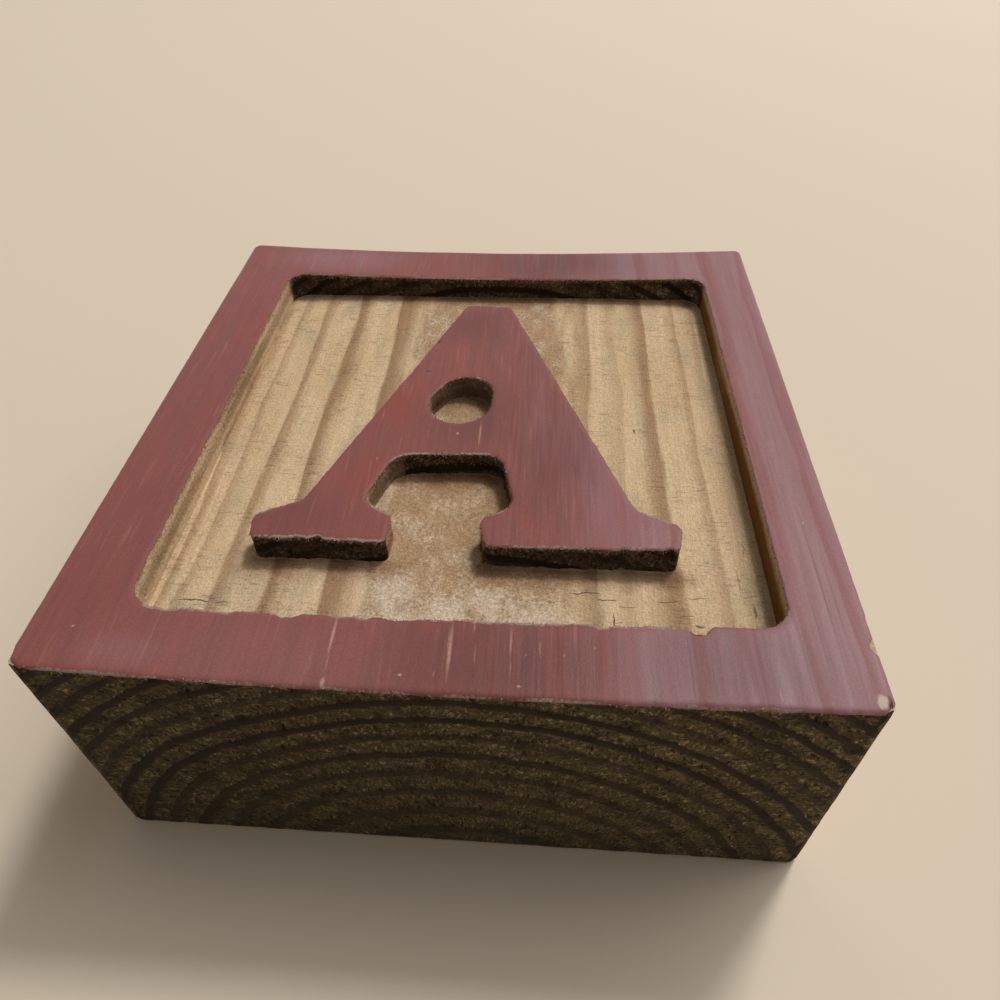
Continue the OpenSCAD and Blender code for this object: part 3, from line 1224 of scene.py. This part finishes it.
@dataclass(frozen=True)
class BrushedPaint:
    """Old brick red paint, brushed along the grain, chalky on one side: partly rubbed chalky
    paint, partly a painted sheen.

    The brush's lines are drawn 0.4 mm wide, coarser than its hairs, so that they show.
    """

    name: str = "brushed_milk_paint"
    red: str = "#804841"
    brown: str = "#74433e"
    # Chalky purple-grey: partly chalked paint, partly a painted sheen
    chalk_and_sheen: str = "#916d72"
    bright: str = "#8a4a3f"
    bare: str = "#bf9482"
    rim: str = "#948074"
    dark: str = "#3c211e"
    warm: str = "#824036"
    hair: str = "#9c6a62"
    dull: str = "#d8dade"
    groove: str = "#5f3f40"
    chip: str = "#b3a28c"
    combed: float = 0.1
    roughness: float = 0.5
    bump_mm: float = 0.03

    def build(self) -> bpy.types.Material:
        """Makes the material."""
        material = bpy.data.materials.new(self.name)
        shader = Shader(material)
        brush = shader.grain((1.5, 24.0, 4.0), 3.0)
        lines = self.combing(shader)
        tooth = shader.grain((0.2, 0.26, 0.4))
        colour = self.ground(shader, brush)
        light = shader.add("MapRange", (lines, 0.3, 0.7, 1 - self.combed, 1 + self.combed))
        speckle = shader.add("MapRange", (tooth, 0.3, 0.7, 0.92, 1.08))
        light = shader.add("Math", (light, speckle), operation="MULTIPLY")
        colour = shader.add("HueSaturation", {"Value": light, "Color": colour})
        frayed = shader.grain((0.5, 0.9, 0.5), 3.0, span=(0.2, 0.8, -0.18, 0.18))
        shaken = shader.add("VectorMath", (shader.places, frayed), operation="ADD")
        pale = shader.marked(PALE_SCRATCHES, 0.05)
        broken = shader.add("MapRange", (tooth, 0.3, 0.55, 0.6, 1.0))
        pale = shader.add("Math", (pale, broken), operation="MULTIPLY")
        grooves = shader.marked(GROOVES, 0.1)
        grooves = shader.add("Math", (grooves, broken), operation="MULTIPLY")
        dents = shader.marked(DARK_DENTS)
        colour = shader.layered(
            colour,
            (pale, self.bare),
            (grooves, self.groove),
            (dents, self.dark),
            (shader.marked(CHIPS, places=shaken), self.chip),
            (self.rubbed_rim(shader), self.rim),
        )
        ridged = shader.add("Math", (lines, 4 * self.combed), operation="MULTIPLY")
        height = shader.add("Math", (tooth, 0.5, ridged), operation="MULTIPLY_ADD")
        height = shader.add("Math", (pale, -0.6, height), operation="MULTIPLY_ADD")
        height = shader.add("Math", (dents, -1.5, height), operation="MULTIPLY_ADD")
        sheen = (self.roughness - 0.08, self.roughness + 0.1)
        gloss = shader.add("MapRange", (brush, 0.3, 0.7, *sheen))
        looks = {"Base Color": colour, "Roughness": gloss, "Specular IOR Level": 0.22}
        shader.close(looks, height, self.bump_mm)
        return material

    def combing(self, shader: Shader) -> Socket:
        """Adds fine lines that run along the grain, most of them on the letter's thick stroke.

        Args:
            shader: The tree.

        Returns:
            A value from 0 to 1, level on the left.
        """
        lines = shader.grain((0.4, 9.0, 4.0), 3.0, 0.3)
        broad = shader.grain((3.0, 12.0, 4.0), 1.0, span=(0.35, 0.65, 0.45, 1.0))
        thick = shader.add("MapRange", (shader.side, 1.0, 8.0, 0.55, 2.0))
        worn = shader.add("MapRange", (shader.side, 13.0, 20.0, 1.0, 0.3))
        thick = shader.add("Math", (thick, worn), operation="MULTIPLY")
        thick = shader.add("Math", (thick, broad), operation="MULTIPLY")
        level = shader.add("Math", (lines, 0.5), operation="SUBTRACT")
        return shader.add("Math", (level, thick, 0.5), operation="MULTIPLY_ADD")

    def ground(self, shader: Shader, brush: Socket) -> Socket:
        """Adds the paint's colour, redder on the left and chalky on the right, where the chalk is
        partly a painted sheen.

        Args:
            shader: The tree.
            brush: Brush streaks.

        Returns:
            The colour.
        """
        cloud = shader.grain((7.0, 30.0, 10.0), 3.0)
        wobble = shader.add("MapRange", (cloud, 0.25, 0.75, -10.0, 10.0))
        shifted = shader.add("Math", (shader.side, wobble), operation="ADD")
        # Chalk that rises to the right: partly chalked paint, partly a painted sheen of the light
        # from behind on the right
        chalk_and_sheen_share = shader.add("MapRange", (shifted, 2.0, 38.0, 0.0, 0.6))
        painted_light_tone = shader.marked(CHALK_AND_SHEEN_PATCHES, 0.1)
        chalk_and_sheen_share = shader.add("Math", (chalk_and_sheen_share, painted_light_tone), operation="MAXIMUM")
        sunk = shader.striped(SUNK_BANDS)
        sunk = shader.add("MapRange", (sunk, 0.0, 1.0, 0.1, -0.3))
        right = shader.add("MapRange", (shader.side, 14.0, 24.0))
        sunk = shader.add("Math", (sunk, right), operation="MULTIPLY")
        chalk_and_sheen_share = shader.add("Math", (chalk_and_sheen_share, sunk), operation="ADD")
        streak = shader.add("MapRange", (brush, 0.3, 0.7, 0.2, 0.8))
        ember = shader.grain((4.0, 9.0, 9.0), 3.0, span=(0.54, 0.72, 0.0, 0.4))
        hairs = shader.grain((0.5, 8.0, 4.0), 3.0, span=(0.58, 0.74, 0.0, 0.3))
        base = shader.layered(
            self.brown,
            (streak, self.red),
            (ember, self.bright),
            (shader.marked(RED_PATCHES, 0.1), self.warm),
            (hairs, self.hair),
            (chalk_and_sheen_share, self.chalk_and_sheen),
        )
        inputs = {0: shader.marked(DULL_PATCHES, 0.1), 6: base, 7: linear(self.dull)}
        return shader.add("Mix", inputs, 2, blend_type="MULTIPLY")

    def rubbed_rim(self, shader: Shader) -> Socket:
        """Adds a mask of the bare frayed wood where the film's rims are rubbed through.

        Args:
            shader: The tree.

        Returns:
            A value from 0 to 1.
        """
        near = shader.add("Attribute", output="Fac", attribute_name="rim_near")
        frayed = shader.grain((0.35, 0.35, 0.35), 3.0)
        stretch = shader.grain((5.0, 5.0, 5.0), span=(0.38, 0.62, 0.55, 1.15))
        share = shader.add("Math", (near, frayed), operation="MULTIPLY")
        share = shader.add("Math", (share, stretch), operation="MULTIPLY")
        return shader.add("MapRange", (share, 0.24, 0.42, 0.0, 0.85))


def placed_object(name: str, bm: bmesh.types.BMesh) -> bpy.types.Object:
    """Adds an object for a finished mesh, at the origin.

    Args:
        name: Name of the piece.
        bm: Its mesh, already in place, which is freed.

    Returns:
        The new object.
    """
    mesh = bpy.data.meshes.new(name)
    bm.to_mesh(mesh)
    bm.free()
    piece = bpy.data.objects.new(name, mesh)
    bpy.context.scene.collection.objects.link(piece)
    return piece


def by_zone(bm: bmesh.types.BMesh) -> dict[Zone, list[bmesh.types.BMFace]]:
    """Sorts the faces of a marked mesh by their zones."""
    layer = bm.faces.layers.int["zone"]
    return {zone: [face for face in bm.faces if face[layer] == zone.value] for zone in Zone}


@dataclass
class CarvedBlock:
    """The whole block of wood: base, border and standing letter, cut from one board."""

    board: Board
    rings: GrowthRings
    rims: Rims
    floor_cell: float = 0.4
    end_wall_cell: float = 0.2
    side_wall_cell: float = 0.6
    wall_rise: float = 0.35
    front_cell: float = 0.36
    back_cell: float = 0.8
    side_cell: float = 1.2
    top_strip: float = 3.0
    under_cell: float = 4.0
    finishes: tuple[Softwood, ...] = (ROUTED_PINE, SAWN_PINE, PLANED_PINE)

    def build(self) -> bpy.types.Object:
        """Cuts, wears and dresses the wood.

        Returns:
            The finished piece.
        """
        bm = merged_copy("wood_block")
        self.mark_zones(bm)
        self.cut(bm)
        self.mark_creases(bm)
        piece = placed_object("carved_block", bm)
        surface = Surface(piece.data)
        self.wear(surface)
        surface.write()
        for finish in self.finishes:
            piece.data.materials.append(finish.build(self.rings))
        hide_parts("wood_block")
        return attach(piece, BODY)

    def zone_of(self, face: bmesh.types.BMFace) -> Zone:
        """Says which surface a face of the CAD solid belongs to."""
        centre = np.array([face.calc_center_median() / MM])
        if face.normal.z < -0.9:
            return Zone.UNDERSIDE
        if face.normal.z > 0.9:
            return Zone.FLOOR if centre[0, 2] < self.board.floor_z + 0.1 else Zone.TOP
        if self.board.inset(centre)[0] > 0.5:
            return Zone.WALL
        return Zone.END if faces_y(face) else Zone.SIDE

    def mark_zones(self, bm: bmesh.types.BMesh) -> None:
        """Numbers every face by its surface."""
        layer = bm.faces.layers.int.new("zone")
        for face in bm.faces:
            face[layer] = self.zone_of(face).value

    def cut(self, bm: bmesh.types.BMesh) -> None:
        """Cuts each surface as finely as its wear needs.

        Args:
            bm: The marked mesh.
        """
        groups = by_zone(bm)
        wide, long, high = self.board.half_width, self.board.half_length, self.board.thickness
        walls, ends = groups[Zone.WALL], groups[Zone.END]
        first = (
            (groups[Zone.FLOOR], 0, steps(-wide, wide, self.floor_cell)),
            ([f for f in ends if f.normal.y < 0], 0, steps(-wide, wide, self.front_cell)),
            ([f for f in ends if f.normal.y > 0], 0, steps(-wide, wide, self.back_cell)),
            (groups[Zone.SIDE], 1, steps(-long, long, self.side_cell)),
            (groups[Zone.UNDERSIDE], 0, steps(-wide, wide, self.under_cell)),
            ([f for f in walls if faces_y(f)], 0, steps(-wide, wide, self.end_wall_cell)),
            ([f for f in walls if not faces_y(f)], 1, steps(-long, long, self.side_wall_cell)),
            (groups[Zone.TOP], 0, steps(-wide, wide, self.top_strip)),
        )
        strips = [sliced(bm, *cuts) for cuts in first]
        sliced(bm, strips[0], 1, steps(-long, long, self.floor_cell))
        sliced(bm, strips[1], 2, steps(0, high, self.front_cell))
        sliced(bm, strips[2], 2, steps(0, high, self.back_cell))
        sliced(bm, strips[3], 2, steps(0, high, self.side_cell))
        sliced(bm, strips[4], 1, steps(-long, long, self.under_cell))
        sliced(bm, strips[5] + strips[6], 2, steps(self.board.floor_z, high, self.wall_rise))

    def mark_creases(self, bm: bmesh.types.BMesh) -> None:
        """Shades every surface smoothly, with a hard edge where two surfaces meet."""
        layer = bm.faces.layers.int["zone"]
        for face in bm.faces:
            face.smooth = True
            zone = Zone(face[layer])
            face.material_index = {Zone.END: 1, Zone.SIDE: 2, Zone.UNDERSIDE: 2}.get(zone, 0)
        for edge in bm.edges:
            zones = {face[layer] for face in edge.link_faces}
            edge.smooth = len(zones) == 1 or edge.calc_face_angle(0) < math.radians(40)

    def wear(self, surface: Surface) -> None:
        """Moves the surface from its true form to its sawn, routed and worn one.

        Args:
            surface: The cut mesh.
        """
        base = surface.base
        top = self.board.top(base[:, 0])
        distance, outward, foot = self.rims.nearest(base)
        rise = smooth(base[:, 2], self.board.floor_z, self.board.thickness - 1.2)
        late = self.rings.late(self.rings.phase(base))
        on_top = surface.corners(Zone.TOP)
        surface.places[on_top, 2] = top[on_top] - 0.03
        walls = surface.corners(Zone.WALL)
        bite = self.rims.bite(foot, outward) * rise
        surface.places[walls, :2] += (outward * bite[:, None])[walls]
        torn = self.torn_wall(base, late, surface.outward(Zone.WALL))
        surface.push(Zone.WALL, torn * smooth(top - base[:, 2], 0.0, 0.5))
        floor = surface.corners(Zone.FLOOR)
        surface.places[floor, 2] += self.routed_floor(base, late)[floor]
        surface.push(Zone.END, self.sawn_end(base, late))
        surface.push(Zone.SIDE, -0.06 - 0.05 * rough(base, (2.5, 30, 2.5), seed=41))
        high = smooth(base[:, 2], self.board.thickness - 3.5, self.board.thickness - 1.2)
        outer = self.board.inset(base) < OUTER_EDGE
        surface.places[:, 2] -= self.rims.arris(base, outward) * high * outer
        self.ease_underside(surface)
        surface.places[:, 1] += self.board.sawn_back(base)
        self.keep_attributes(surface, distance, outward, top)

    def torn_wall(self, base: np.ndarray, late: np.ndarray, wall_out: np.ndarray) -> np.ndarray:
        """Relief of the routed walls, rough where the cutter crossed the grain.

        Args:
            base: True places.
            late: Share of late wood.
            wall_out: Outward directions of the walls.

        Returns:
            Distances along the walls' outward directions.
        """
        across = wall_out[:, 1] ** 2
        columns = rough(base, (0.55, 1.2, 2.2), seed=31)
        lumps = rough(base, (1.1, 1.4, 1.0), seed=32)
        pits = smooth(rough(base, (0.8, 1.2, 0.7), seed=33), 0.25, 0.7)
        early = 1 - late
        torn = -0.18 + 0.12 * late + 0.1 * columns + 0.14 * lumps * early - 0.35 * pits * early
        streaks = -0.03 + 0.05 * rough(base, (1, 12, 0.9), seed=34)
        return across * torn + (1 - across) * streaks

    def routed_floor(self, base: np.ndarray, late: np.ndarray) -> np.ndarray:
        """Relief of the pocket's floor: raised grain, fuzz and the cutter's faint swirls.

        Args:
            base: True places.
            late: Share of late wood.

        Returns:
            Heights above the true floor.
        """
        streaks = rough(base, (0.9, 14, 1), seed=51)
        fuzz = rough(base, (0.8, 1.1, 1), seed=52)
        swell = noise(base, (9, 14, 1), seed=53)
        return 0.05 * late + 0.035 * streaks + 0.05 * fuzz + 0.04 * swell

    def sawn_end(self, base: np.ndarray, late: np.ndarray) -> np.ndarray:
        """Relief of the sawn ends: early wood torn deeper than late wood, with pits.

        Args:
            base: True places.
            late: Share of late wood.

        Returns:
            Distances along the outward direction, all below nothing.
        """
        bent = self.rings.unrolled(base)
        coarse = rough(bent, (0.9, 9, 0.9), seed=61)
        fuzz = rough(bent, (0.4, 9, 0.5), seed=62, octaves=2)
        pits = smooth(rough(bent, (1.2, 9, 0.8), seed=63), 0.42, 0.8)
        early = 1 - late
        torn = early * (0.16 + 0.1 * coarse + 0.08 * fuzz + 0.4 * pits) + 0.02 * coarse
        calm = smooth(self.board.half_width - np.abs(base[:, 0]), 0.2, 1.6)
        calm = calm * smooth(base[:, 2], 0.0, 1.6)
        return -0.2 - np.maximum(torn, -0.1) * (0.25 + 0.75 * calm)

    def ease_underside(self, surface: Surface) -> None:
        """Rounds the lower arris a little, so that no knife edge stands on the table."""
        base = surface.base
        radius = 0.5
        low = base[:, 2] < 0.01
        near = smooth(self.board.inset(base), radius, 0.0)
        surface.places[:, 2] += np.where(low, 0.35 * near, 0)

    def keep_attributes(
        self, surface: Surface, distance: np.ndarray, outward: np.ndarray, top: np.ndarray
    ) -> None:
        """Stores what the finishes read: ring wander, end grain, rims, and painted shade with some
        cutter scorch.

        Args:
            surface: The worn mesh.
            distance: Distance in plan from the nearest rim.
            outward: Outward directions of the nearest rims.
            top: Height of the top face at each vertex.
        """
        surface.keep("ring_wander", "POINT", self.rings.wander(surface.base))
        below = top - surface.base[:, 2]
        near = smooth(below, 0.9, 0.0) * smooth(distance, 1.0, 0.0)
        surface.keep("rim_near", "POINT", near)
        share = np.maximum(-surface.face_normals[:, 1], surface.face_normals[:, 1] - 0.45)
        share = np.where(surface.face_zones == Zone.END.value, 1.0, share)
        centre = surface.face_centres()
        pale = np.zeros(len(centre), bool)
        for middle, reach in PALE_SPOTS:
            pale |= np.linalg.norm(centre[:, :2] - middle, axis=1) < reach
        pale &= surface.face_zones == Zone.WALL.value
        share = smooth(share, 0.12, 0.42) * np.where(pale, PALE_SHARE, 1.0)
        surface.keep("end_share", "FACE", share)
        # Painted shade and shadow, partly cutter scorch, kept for the wood's finish
        surface.keep("shade_and_scorch", "POINT", self.shade_and_scorch(surface, distance, outward, below))

    def shade_and_scorch(
        self, surface: Surface, distance: np.ndarray, outward: np.ndarray, below: np.ndarray
    ) -> np.ndarray:
        """How far the walls and the floor in front of them are browned: painted shade and shadow,
        with some scorch from the hot cutter.

        Args:
            surface: The worn mesh.
            distance: Distance in plan from the nearest rim.
            outward: Outward directions of the nearest rims.
            below: Depth of each vertex below the top face.

        Returns:
            Shares from 0 to 1.
        """
        share = np.zeros(len(below))
        floor = surface.corners(Zone.FLOOR)
        ragged = 1 + 0.4 * rough(surface.base, (2.5, 2.5, 2.5), seed=91)
        # Painted shadow, warm from light bounced off the wood, on the floor in front of walls that
        # face the front, away from the light; partly cutter scorch
        fringe = smooth(distance, 4.5 * ragged, 0.4) * smooth(-outward[:, 1], 0.2, 0.8)
        share[floor] = 0.55 * fringe[floor]
        walls = surface.corners(Zone.WALL)
        facing = surface.outward(Zone.WALL)
        depth = below / (self.board.thickness - self.board.floor_z)
        # Walls facing +X get a brown band at mid-depth; walls facing -X, turned from the light,
        # get painted shade that deepens towards the foot
        stripe = smooth(depth, 0.18, 0.36) * smooth(depth, 0.72, 0.52)
        side = np.where(facing[:, 0] > 0, 0.55 * stripe, 1.2 * smooth(depth, 0.1, 0.6))
        # Walls facing the front get painted shadow in their upper part, below the rim that
        # overhangs them
        front = 0.3 * smooth(depth, 0.75, 0.2)
        share[walls] = np.where(facing[:, 1] < -0.5, front, side)[walls]
        return share


@dataclass
class PaintFilm:
    """A film of brushed paint over part of the top face."""

    name: str
    node: str
    board: Board
    rings: GrowthRings
    rims: Rims
    material: bpy.types.Material
    cell_x: float = 0.25
    cell_y: float = 0.5
    body: float = 0.1
    taper: float = 0.5

    def build(self) -> bpy.types.Object:
        """Cuts, wears and dresses the film.

        Returns:
            The finished piece.
        """
        bm = merged_copy(self.node)
        layer = bm.faces.layers.int.new("zone")
        for face in bm.faces:
            face[layer] = self.zone_of(face).value
            face.smooth = True
        self.cut(bm)
        for edge in bm.edges:
            zones = {face[layer] for face in edge.link_faces}
            edge.smooth = Zone.UNDERSIDE.value not in zones or len(zones) == 1
        piece = placed_object(self.name, bm)
        surface = Surface(piece.data)
        self.wear(surface)
        surface.write()
        piece.data.materials.append(self.material)
        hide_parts(self.node)
        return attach(piece, BODY)

    def zone_of(self, face: bmesh.types.BMFace) -> Zone:
        """Says whether a face is the film's top, its underside or its rim."""
        if face.normal.z > 0.5:
            return Zone.TOP
        return Zone.UNDERSIDE if face.normal.z < -0.5 else Zone.WALL

    def cut(self, bm: bmesh.types.BMesh) -> None:
        """Cuts the top and the rims finely, and the hidden underside in strips.

        Args:
            bm: The marked mesh.
        """
        groups = by_zone(bm)
        wide, long = self.board.half_width, self.board.half_length
        across, along = steps(-wide, wide, self.cell_x), steps(-long, long, self.cell_y)
        rim = sliced(bm, groups[Zone.WALL], 0, across)
        upper = sliced(bm, groups[Zone.TOP], 0, across)
        sliced(bm, groups[Zone.UNDERSIDE], 0, steps(-wide, wide, 3.0))
        sliced(bm, rim, 1, along)
        sliced(bm, upper, 1, along)

    def wear(self, surface: Surface) -> None:
        """Moves the film from its even form to its brushed and chipped one.

        Args:
            surface: The cut mesh.
        """
        base = surface.base
        distance, outward, foot = self.rims.nearest(base)
        top = self.board.top(base[:, 0])
        is_top = np.zeros(len(base), bool)
        is_top[surface.corners(Zone.TOP)] = True
        height = self.thickness(base, distance)
        surface.places[:, 2] = top + np.where(is_top, height, -0.02)
        bite = self.rims.bite(foot, outward) * smooth(distance, 1.4, 0.0)
        outer = self.board.inset(base) < OUTER_EDGE
        stand = np.where(outer, 0.0, 0.015) * (distance < 0.01)
        surface.places[:, :2] += outward * (bite + stand)[:, None]
        surface.places[:, 2] -= self.rims.arris(base, outward) * outer
        drape = self.drape(foot, outward) * (distance < 0.01) * ~is_top
        surface.places[:, 2] -= drape
        surface.places[:, 1] += self.board.sawn_back(base)
        across = outward[:, 1] ** 2
        fuzzy = smooth(distance, 0.75, 0.0) * (0.35 + 0.65 * across) * np.where(outer, 0.9, 1.0)
        surface.keep("rim_near", "POINT", fuzzy)

    def thickness(self, base: np.ndarray, distance: np.ndarray) -> np.ndarray:
        """Thickness of the film: brush ridges, the wood's rings below, thin rims.

        Args:
            base: True places.
            distance: Distance in plan from the nearest rim.

        Returns:
            Thickness in millimetres.
        """
        late = self.rings.late(self.rings.phase(base))
        brush = rough(base * (1, 1, 0), (0.9, 30, 1), seed=71)
        sink = noise(base * (1, 1, 0), (6, 18, 1), seed=72)
        body = self.body + 0.02 * late + 0.02 * brush + 0.015 * sink
        return 0.02 + body * smooth(distance, -0.1, self.taper)

    def drape(self, foot: np.ndarray, outward: np.ndarray) -> np.ndarray:
        """How far paint ran down over each rim.

        Args:
            foot: Places on the rims.
            outward: Their outward directions. Not used.

        Returns:
            Lengths in millimetres.
        """
        front = smooth(foot[:, 1], -45.5, -46.3)
        uneven = noise(foot * (1, 1, 0), (2.2, 2.2, 1), seed=81)
        run = noise(foot * (1, 1, 0), (0.6, 0.6, 1), seed=82)
        return 0.03 + front * np.maximum(0.06 + 0.1 * uneven + 0.08 * run, 0)


@dataclass
class FrayedFibres:
    """Short broken fibres of wood along the rims, most where the cutter crossed them.

    They are thicker than real fibres, so that they show.
    """

    board: Board
    rims: Rims
    nodes: tuple[str, ...]
    film: float = 0.2
    crossed: float = 13.0
    along: float = 6.0
    lengths: tuple[float, float] = (0.15, 0.5)
    radii: tuple[float, float] = (0.04, 0.09)
    dark: str = "#77634f"
    pale: str = "#c6b39a"
    seed: int = 5

    def build(self) -> bpy.types.Object:
        """Grows the fibres and dresses them.

        Returns:
            The finished piece.
        """
        rng = np.random.default_rng(self.seed)
        roots, outward = self.roots(rng)
        bm = bmesh.new()
        for root, away in zip(roots, outward, strict=True):
            self.grow(bm, rng, root, away)
        bmesh.ops.remove_doubles(bm, verts=bm.verts, dist=1e-7)
        for vert in bm.verts:
            vert.co.y = max(vert.co.y, -self.board.half_length * MM)
        piece = placed_object("rim_fibres", bm)
        piece.data.materials.append(self.finish())
        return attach(piece, BODY)

    def density(self, place: np.ndarray, outward: np.ndarray) -> float:
        """How many fibres stand on each millimetre of a rim.

        Args:
            place: The middle of a stretch of rim.
            outward: Its outward direction.

        Returns:
            The count.
        """
        outer = self.board.inset(place[None])[0] < OUTER_RIM
        if outer:
            return 1.6 if outward[1] < -0.5 else 0.0
        if ARCH.holds(place) or EYE.holds(place):
            return 1.5 * self.crossed
        if abs(outward[1]) > 0.5:
            return self.crossed if outward[1] < 0 else 0.5 * self.crossed
        return 0.2 * self.along if LETTER.holds(place) else self.along

    def roots(self, rng: np.random.Generator) -> tuple[np.ndarray, np.ndarray]:
        """Scatters the fibres' roots over the upright faces of the films.

        Args:
            rng: Source of the scatter.

        Returns:
            Places and outward directions.
        """
        places, outward = [], []
        for name in self.nodes:
            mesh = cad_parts[name].data
            for polygon in mesh.polygons:
                away = np.array(polygon.normal)
                if abs(away[2]) > 0.5:
                    continue
                corners = np.array([mesh.vertices[v].co for v in polygon.vertices]) / MM
                dense = self.density(corners.mean(axis=0), away)
                for i in range(1, len(corners) - 1):
                    fan = corners[[0, i, i + 1]]
                    area = np.linalg.norm(np.cross(fan[1] - fan[0], fan[2] - fan[0])) / 2
                    count = rng.poisson(dense * area / self.film)
                    places += list(rng.dirichlet((1, 1, 1), count) @ fan)
                    outward += [away] * count
        places, outward = np.array(places), np.array(outward)
        places[:, :2] += outward[:, :2] * (self.rims.bite(places, outward) - 0.02)[:, None]
        inward = 0.35 * rng.random(len(places)) ** 2 * (rng.random(len(places)) < 0.5)
        places[:, :2] -= outward[:, :2] * inward[:, None]
        deep = np.array([1.8 if ARCH.holds(place) else 0.5 for place in places])
        sunk = deep * rng.random(len(places)) ** 1.6 * (inward == 0)
        places[:, 2] = self.board.top(places[:, 0]) - 0.02 - sunk
        places[:, 1] += self.board.sawn_back(places)
        return places, outward

    def grow(
        self, bm: bmesh.types.BMesh, rng: np.random.Generator, root: np.ndarray, away: np.ndarray
    ) -> None:
        """Adds one tapered fibre.

        Args:
            bm: The mesh that it joins.
            rng: Source of its lean, length and thickness.
            root: Where it leaves the rim.
            away: The rim's outward direction.
        """
        outer = self.board.inset(root[None])[0] < 1.5
        reach, lift = (0.2, rng.uniform(-1.2, -0.3)) if outer else (1.0, rng.uniform(-0.3, 1.0))
        lean = away * reach * rng.uniform(0.4, 1.0)
        lean += np.array([-away[1], away[0], 0]) * rng.uniform(-0.8, 0.8) + (0, 0, lift)
        lean /= np.linalg.norm(lean)
        length = rng.uniform(*self.lengths)
        middle = Vector(root + lean * (length / 2 - 0.05)) * MM
        turn = Vector(lean).to_track_quat("Z", "Y").to_matrix().to_4x4()
        bmesh.ops.create_cone(
            bm,
            cap_ends=True,
            segments=3,
            radius1=rng.uniform(*self.radii) * MM,
            radius2=0.0,
            depth=length * MM,
            matrix=Matrix.Translation(middle) @ turn,
        )

    def finish(self) -> bpy.types.Material:
        """Makes the fibres' material: dry bare wood, from grey-brown to pale tan."""
        material = bpy.data.materials.new("dry_frayed_pine")
        shader = Shader(material)
        tone = shader.grain((0.3, 0.3, 0.3), span=(0.3, 0.7))
        colour = shader.layered(self.dark, (tone, self.pale))
        shader.close({"Base Color": colour, "Roughness": 0.9, "Specular IOR Level": 0.1})
        return material


@dataclass(frozen=True)
class Lamp:
    """A round soft light that faces the block: where from, how far, how wide, how strong."""

    name: str
    toward: tuple[float, float, float]
    distance: float
    size: float
    power: float
    colour: tuple[float, float, float] = (1.0, 0.985, 0.96)

    def hang(self) -> None:
        """Adds the light to the scene."""
        data = bpy.data.lights.new(self.name, "AREA")
        data.shape = "DISK"
        data.size = self.size * MM
        data.energy = self.power
        data.color = self.colour
        lamp = bpy.data.objects.new(self.name, data)
        toward = Vector(self.toward).normalized()
        lamp.location = toward * self.distance * MM
        lamp.rotation_euler = toward.to_track_quat("Z", "Y").to_euler()
        bpy.context.scene.collection.objects.link(lamp)


@dataclass
class Studio:
    """The plain room: pale floor, soft light from behind on the right, and the camera."""

    floor_half: float = 1500.0
    floor_colour: str = "#d3c5b2"
    lamps: tuple[Lamp, ...] = (
        Lamp("key", (0.31, 0.41, 0.86), 3000.0, 480.0, 42.0),
        Lamp("window", (0.5, 0.3, 0.81), 3000.0, 2400.0, 46.0),
    )
    fill: float = 0.22
    fill_colour: tuple[float, float, float, float] = (1.0, 0.93, 0.83, 1.0)
    eye: tuple[float, float, float] = (9.731, -85.55, 103.951)
    down: float = 44.753
    turn: float = 4.187
    roll: float = -1.31
    focal: float = 27.566

    def build(self) -> None:
        """Makes the floor, the lights and the camera."""
        self.lay_floor()
        for lamp in self.lamps:
            lamp.hang()
        self.light_world()
        self.place_camera()

    def lay_floor(self) -> None:
        """Lays a matt pale floor that the block stands on."""
        bm = bmesh.new()
        bmesh.ops.create_grid(bm, x_segments=1, y_segments=1, size=self.floor_half * MM)
        floor = placed_object("studio_floor", bm)
        material = bpy.data.materials.new("matt_pale_floor")
        Shader(material).close({"Base Color": linear(self.floor_colour), "Roughness": 0.9})
        floor.data.materials.append(material)

    def light_world(self) -> None:
        """Lights all sides faintly, and shows white to the camera and in reflections."""
        world = bpy.data.worlds.new("studio")
        bpy.context.scene.world = world
        shader = Shader(world)
        seen = shader.add("LightPath", output="Is Camera Ray")
        for kind in ("Is Glossy Ray", "Is Transmission Ray"):
            ray = shader.add("LightPath", output=kind)
            seen = shader.add("Math", (seen, ray), operation="MAXIMUM")
        dim = shader.add("Background", (self.fill_colour, self.fill))
        white = shader.add("Background", ((1.0, 1.0, 1.0, 1.0), 1.0))
        both = shader.add("MixShader", (seen, dim, white))
        shader.add("OutputWorld", {"Surface": both})

    def place_camera(self) -> None:
        """Places the camera where the photograph was taken from."""
        data = bpy.data.cameras.new("camera")
        data.sensor_width = 36.0
        data.lens = self.focal
        data.clip_start = 0.005
        camera = bpy.data.objects.new("camera", data)
        turned = Matrix.Rotation(math.radians(self.turn), 4, "Z")
        tipped = Matrix.Rotation(math.radians(90 - self.down), 4, "X")
        rolled = Matrix.Rotation(math.radians(self.roll), 4, "Z")
        camera.matrix_world = Matrix.Translation(Vector(self.eye) * MM) @ turned @ tipped @ rolled
        bpy.context.scene.collection.objects.link(camera)
        bpy.context.scene.camera = camera


def main() -> None:
    """Builds the block's pieces in order, then the room round them."""
    logging.basicConfig(level=logging.INFO, format="%(name)s: %(message)s")
    board = Board()
    rings = GrowthRings()
    rims = Rims(board, FILMS)
    paint = BrushedPaint().build()
    parts = (
        CarvedBlock(board, rings, rims),
        PaintFilm("border_film", "border_paint", board, rings, rims, paint),
        PaintFilm("letter_film", "letter_paint", board, rings, rims, paint, 0.2, 0.4),
        FrayedFibres(board, rims, FILMS),
    )
    for part in parts:
        piece = part.build()
        LOG.info("%s has %d faces", piece.name, len(piece.data.polygons))
    Studio().build()
    bpy.context.scene.view_settings.view_transform = "Standard"


if __name__ == "__main__":
    main()
